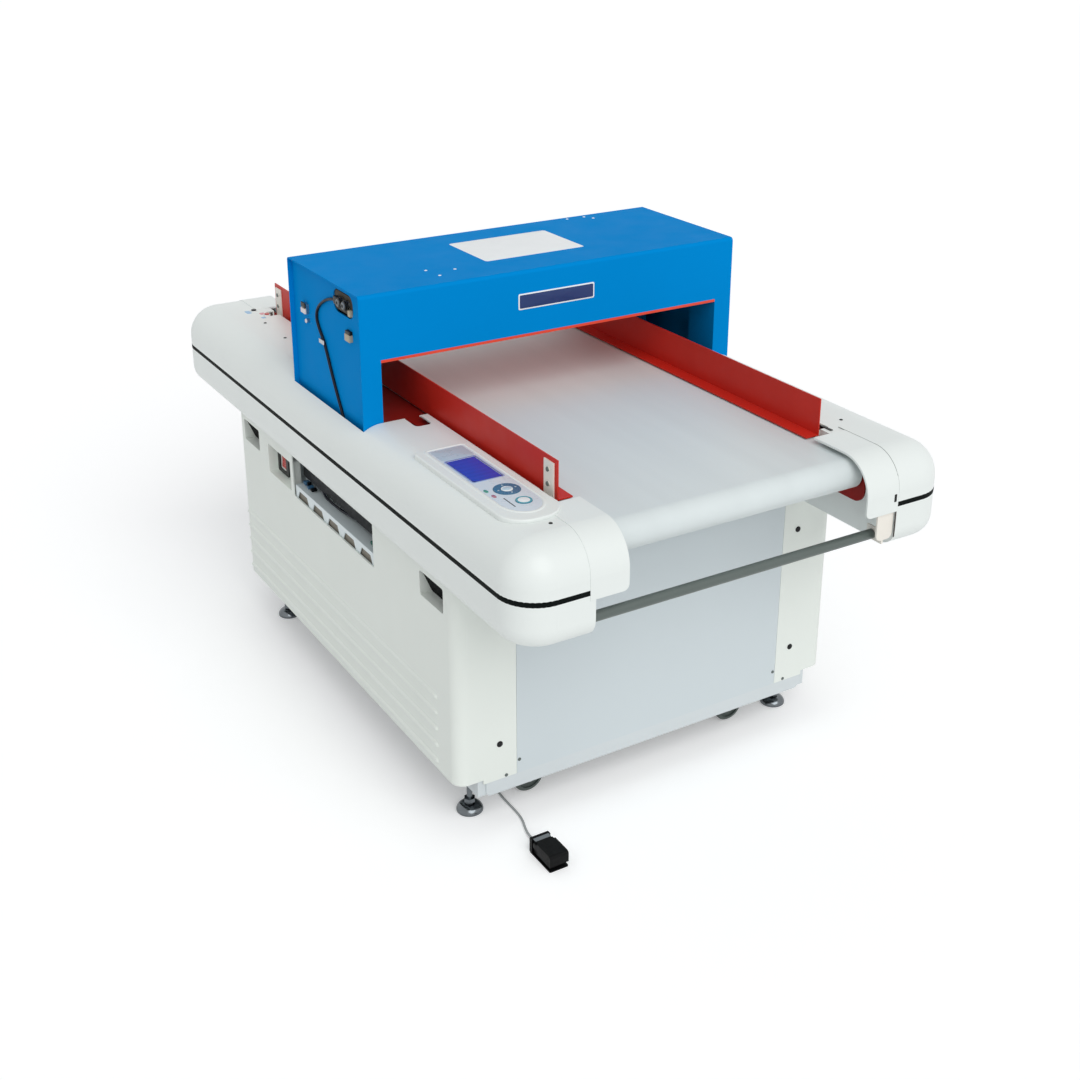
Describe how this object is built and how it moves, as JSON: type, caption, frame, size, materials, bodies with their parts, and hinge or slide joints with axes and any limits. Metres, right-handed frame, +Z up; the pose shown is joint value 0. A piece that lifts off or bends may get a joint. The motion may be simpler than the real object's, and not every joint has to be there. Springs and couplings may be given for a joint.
{
  "type": "conveyor metal detector",
  "caption": "Belt conveyor on a cabinet that carries goods through a sensing head to find metal in them, with guide rails, a control panel and a foot pedal.",
  "frame": {"origin": "on the floor, under the middle of the machine", "axes": "+X across the belt to the right as seen by the operator, +Y along the belt away from the operator, +Z up"},
  "size_m": [0.975, 1.6924, 1.01],
  "materials": {
    "chassis_paint": "smooth powder coat",
    "cover_white": "smooth moulded gloss",
    "cabinet_cream": "satin moulded",
    "panel_grey": "smooth powder coat",
    "head_blue": "gloss paint",
    "rail_red": "satin paint",
    "liner_red": "satin sheet",
    "belt_grey": "matt coated fabric",
    "strip_black": "matt extruded",
    "roller_metal": "turned",
    "steel": "bright zinc",
    "foot_chrome": "polished",
    "wheel_black": "matt",
    "bar_dark": "satin paint",
    "bracket_cream": "smooth paint",
    "bearing_grey": "painted casting",
    "sensor_grey": "potted case",
    "motor_metal": "cast",
    "tray_green": "smooth paint",
    "box_grey": "smooth paint",
    "lcd_blue": "clear window over a display",
    "dial_teal": "moulded gloss",
    "button_white": "moulded gloss",
    "key_black": "moulded gloss",
    "key_red": "moulded gloss",
    "pedal_black": "moulded",
    "lead_grey": "extruded",
    "cable_dark": "extruded"
  },
  "bodies": {
    "machine": {"chassis_frame": "chassis_paint", "lock_nuts": "steel", "caster_forks_back": "steel", "side_cover_left": "cabinet_cream", "side_cover_right": "cabinet_cream", "front_panel": "panel_grey", "back_panel": "panel_grey", "power_switch_frame": "cabinet_cream", "conveyor_side_frames": "rail_red", "bearing_blocks": "bearing_grey", "conveyor_belt": "belt_grey", "slider_bed": "steel", "lower_sensor": "sensor_grey", "drive_motor": "motor_metal", "timing_belt": "strip_black", "rail_brackets": "bracket_cream", "arm_upper_left": "cover_white", "arm_upper_right": "cover_white", "arm_lower_left": "cover_white", "arm_lower_right": "cover_white", "arm_strips": "strip_black", "end_cover_plates": "cover_white", "tie_bar_brackets": "bracket_cream", "tie_bars": "bar_dark", "head_shell": "head_blue", "head_end_plates": "head_blue", "sensor_liner": "liner_red", "upper_sensor": "sensor_grey", "head_connectors": "steel", "head_cable": "cable_dark", "control_housing": "cover_white", "lcd_window": "lcd_blue", "electronics_tray": "tray_green", "control_box": "box_grey", "pedal_base": "pedal_black", "foot_cable": "lead_grey", "cable_gland": "steel"},
    "caster_fork_front_left": {"caster_fork_front_left": "steel"},
    "caster_fork_front_right": {"caster_fork_front_right": "steel"},
    "power_rocker": {"power_rocker": "key_red"},
    "drive_roller": {"drive_roller": "roller_metal"},
    "idler_roller": {"idler_roller": "roller_metal"},
    "snub_roller": {"snub_roller": "roller_metal"},
    "motor_pulley": {"motor_pulley": "steel"},
    "guide_rail_left": {"guide_rail_left": "rail_red"},
    "guide_rail_right": {"guide_rail_right": "rail_red"},
    "nav_dial": {"nav_dial": "dial_teal"},
    "centre_button": {"centre_button": "button_white"},
    "start_button": {"start_button": "dial_teal"},
    "rear_key_dark": {"rear_key_dark": "key_black"},
    "rear_key_red": {"rear_key_red": "key_red"},
    "pedal_treadle": {"pedal_treadle": "pedal_black"},
    "foot_front_left": {"foot_front_left": "foot_chrome"},
    "caster_wheel_front_left": {"caster_wheel_front_left": "wheel_black"},
    "foot_front_right": {"foot_front_right": "foot_chrome"},
    "caster_wheel_front_right": {"caster_wheel_front_right": "wheel_black"},
    "foot_back_left": {"foot_back_left": "foot_chrome"},
    "caster_wheel_back_left": {"caster_wheel_back_left": "wheel_black"},
    "foot_back_right": {"foot_back_right": "foot_chrome"},
    "caster_wheel_back_right": {"caster_wheel_back_right": "wheel_black"}
  },
  "joints": [
    {"name": "drive_spin", "type": "hinge", "parent": "machine", "child": "drive_roller", "pos_m": [0, 0.77, 0.7003], "axis": [1, 0, 0], "continuous": true},
    {"name": "idler_spin", "type": "hinge", "parent": "machine", "child": "idler_roller", "pos_m": [0, -0.77, 0.7003], "axis": [1, 0, 0], "continuous": true},
    {"name": "snub_spin", "type": "hinge", "parent": "machine", "child": "snub_roller", "pos_m": [0, 0.69, 0.6533], "axis": [1, 0, 0], "continuous": true},
    {"name": "motor_spin", "type": "hinge", "parent": "machine", "child": "motor_pulley", "pos_m": [0.363, 0.48, 0.596], "axis": [1, 0, 0], "continuous": true},
    {"name": "guide_rail_left_lift", "type": "slide", "parent": "machine", "child": "guide_rail_left", "axis": [0, 0, 1], "range_m": [0, 0.01]},
    {"name": "guide_rail_right_lift", "type": "slide", "parent": "machine", "child": "guide_rail_right", "axis": [0, 0, 1], "range_m": [0, 0.01]},
    {"name": "foot_front_left_screw", "type": "slide", "parent": "machine", "child": "foot_front_left", "axis": [0, 0, -1], "range_m": [0, 0.02]},
    {"name": "caster_swivel_left", "type": "hinge", "parent": "machine", "child": "caster_fork_front_left", "pos_m": [-0.236, -0.478, 0.08], "axis": [0, 0, 1], "continuous": true},
    {"name": "caster_wheel_front_left_spin", "type": "hinge", "parent": "caster_fork_front_left", "child": "caster_wheel_front_left", "pos_m": [-0.258, -0.478, 0.0375], "axis": [0, 1, 0], "continuous": true},
    {"name": "foot_front_right_screw", "type": "slide", "parent": "machine", "child": "foot_front_right", "axis": [0, 0, -1], "range_m": [0, 0.02]},
    {"name": "caster_swivel_right", "type": "hinge", "parent": "machine", "child": "caster_fork_front_right", "pos_m": [0.236, -0.478, 0.08], "axis": [0, 0, 1], "continuous": true},
    {"name": "caster_wheel_front_right_spin", "type": "hinge", "parent": "caster_fork_front_right", "child": "caster_wheel_front_right", "pos_m": [0.258, -0.478, 0.0375], "axis": [0, 1, 0], "continuous": true},
    {"name": "foot_back_left_screw", "type": "slide", "parent": "machine", "child": "foot_back_left", "axis": [0, 0, -1], "range_m": [0, 0.02]},
    {"name": "caster_wheel_back_left_spin", "type": "hinge", "parent": "machine", "child": "caster_wheel_back_left", "pos_m": [-0.236, 0.5, 0.0375], "axis": [1, 0, 0], "continuous": true},
    {"name": "foot_back_right_screw", "type": "slide", "parent": "machine", "child": "foot_back_right", "axis": [0, 0, -1], "range_m": [0, 0.02]},
    {"name": "caster_wheel_back_right_spin", "type": "hinge", "parent": "machine", "child": "caster_wheel_back_right", "pos_m": [0.236, 0.5, 0.0375], "axis": [1, 0, 0], "continuous": true},
    {"name": "power_rocker_tilt", "type": "hinge", "parent": "machine", "child": "power_rocker", "pos_m": [-0.432, 0.322, 0.487], "axis": [0, 1, 0], "range_deg": [0, 10]},
    {"name": "nav_dial_press", "type": "slide", "parent": "machine", "child": "nav_dial", "axis": [0, 0, -1], "range_m": [0, 0.0008], "stiffness_N_per_m": 600, "springref_m": -0.001},
    {"name": "centre_button_press", "type": "slide", "parent": "machine", "child": "centre_button", "axis": [0, 0, -1], "range_m": [0, 0.0008], "stiffness_N_per_m": 600, "springref_m": -0.001},
    {"name": "start_button_press", "type": "slide", "parent": "machine", "child": "start_button", "axis": [0, 0, -1], "range_m": [0, 0.0008], "stiffness_N_per_m": 600, "springref_m": -0.001},
    {"name": "rear_key_dark_press", "type": "slide", "parent": "machine", "child": "rear_key_dark", "axis": [0, 0, -1], "range_m": [0, 0.0008], "stiffness_N_per_m": 600, "springref_m": -0.001},
    {"name": "rear_key_red_press", "type": "slide", "parent": "machine", "child": "rear_key_red", "axis": [0, 0, -1], "range_m": [0, 0.0008], "stiffness_N_per_m": 600, "springref_m": -0.001},
    {"name": "treadle_press", "type": "hinge", "parent": "machine", "child": "pedal_treadle", "pos_m": [-0.337, -0.676, 0.024], "axis": [1, 0, 0], "range_deg": [0, 8], "stiffness_Nm_per_rad": 0.5, "springref_deg": -5.73}
  ],
  "couplings": [
    {"joint": "idler_spin", "follows": "drive_spin", "ratio": 1},
    {"joint": "snub_spin", "follows": "drive_spin", "ratio": -2.0467},
    {"joint": "motor_spin", "follows": "drive_spin", "ratio": 1}
  ]
}
